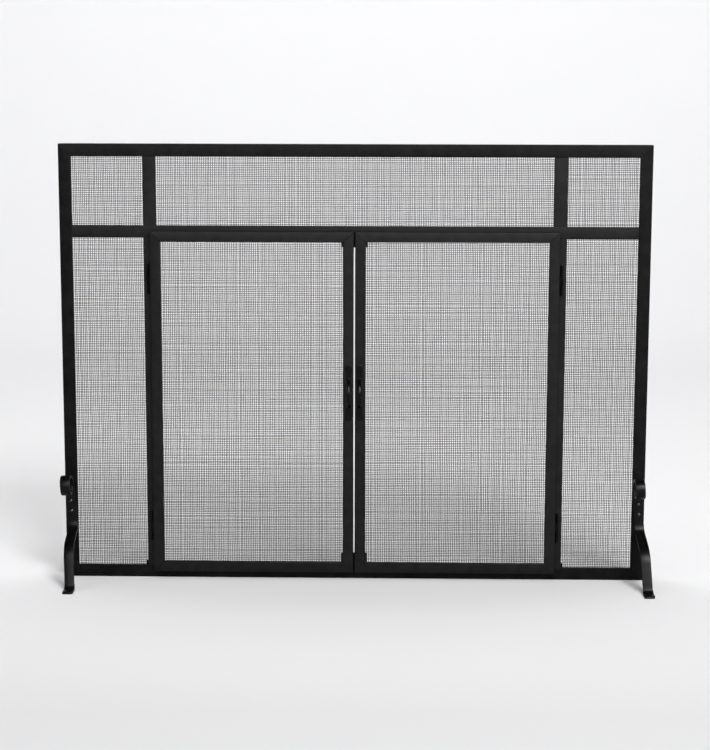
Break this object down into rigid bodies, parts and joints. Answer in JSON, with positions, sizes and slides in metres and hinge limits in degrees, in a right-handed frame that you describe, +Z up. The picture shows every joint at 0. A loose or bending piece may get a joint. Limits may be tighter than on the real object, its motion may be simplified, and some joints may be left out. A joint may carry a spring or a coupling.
{
  "type": "fireplace screen",
  "caption": "Flat free-standing fireplace screen: a steel angle frame with wire mesh bays, a pair of hinged mesh doors with bow handles, and scrolled legs in front.",
  "frame": {"origin": "middle of the bottom rail's underside, on the hearth", "axes": "+X along the screen to the right as seen from the room, +Y back towards the fire, +Z up"},
  "size_m": [1.1285, 0.155, 0.838],
  "materials": {
    "black_paint": "satin powder coat",
    "black_wire": "painted woven wire cloth",
    "zinc_steel": "zinc plated",
    "magnet": "nickel plated"
  },
  "bodies": {
    "frame": {"left_stile": "black_paint", "right_stile": "black_paint", "top_rail": "black_paint", "bottom_rail": "black_paint", "transom": "black_paint", "upper_left_mullion": "black_paint", "upper_right_mullion": "black_paint", "lower_left_mullion": "black_paint", "lower_right_mullion": "black_paint", "left_mullion_tab": "black_paint", "right_mullion_tab": "black_paint", "upper_left_mesh": "black_wire", "upper_centre_mesh": "black_wire", "upper_right_mesh": "black_wire", "side_left_mesh": "black_wire", "side_right_mesh": "black_wire", "upper_left_clamps": "black_paint", "upper_centre_clamps": "black_paint", "upper_right_clamps": "black_paint", "side_left_clamps": "black_paint", "side_right_clamps": "black_paint", "left_frame_leaves": "black_paint", "right_frame_leaves": "black_paint", "left_hinge_pins": "black_paint", "right_hinge_pins": "black_paint", "upper_catch_plate": "black_paint", "lower_catch_plate": "black_paint", "upper_magnets": "magnet", "lower_magnets": "magnet", "left_leg": "black_paint", "right_leg": "black_paint", "left_leg_screws": "black_paint", "right_leg_screws": "black_paint", "left_leg_nuts": "zinc_steel", "right_leg_nuts": "zinc_steel"},
    "left_door": {"left_door_hinge_stile": "black_paint", "left_door_meeting_stile": "black_paint", "left_door_top_rail": "black_paint", "left_door_bottom_rail": "black_paint", "left_door_mesh": "black_wire", "left_door_clamps": "black_paint", "left_door_leaves": "black_paint", "left_door_keepers": "black_paint", "left_handle": "black_paint", "left_handle_screws": "zinc_steel"},
    "right_door": {"right_door_hinge_stile": "black_paint", "right_door_meeting_stile": "black_paint", "right_door_top_rail": "black_paint", "right_door_bottom_rail": "black_paint", "right_door_mesh": "black_wire", "right_door_clamps": "black_paint", "right_door_leaves": "black_paint", "right_door_keepers": "black_paint", "right_handle": "black_paint", "right_handle_screws": "zinc_steel"}
  },
  "joints": [
    {"name": "left_door_hinge", "type": "hinge", "parent": "frame", "child": "left_door", "pos_m": [-0.3918, -0.01505, 0.3449], "axis": [0, 0, -1], "range_deg": [0, 120]},
    {"name": "right_door_hinge", "type": "hinge", "parent": "frame", "child": "right_door", "pos_m": [0.3918, -0.01505, 0.3449], "axis": [0, 0, 1], "range_deg": [0, 120]}
  ]
}
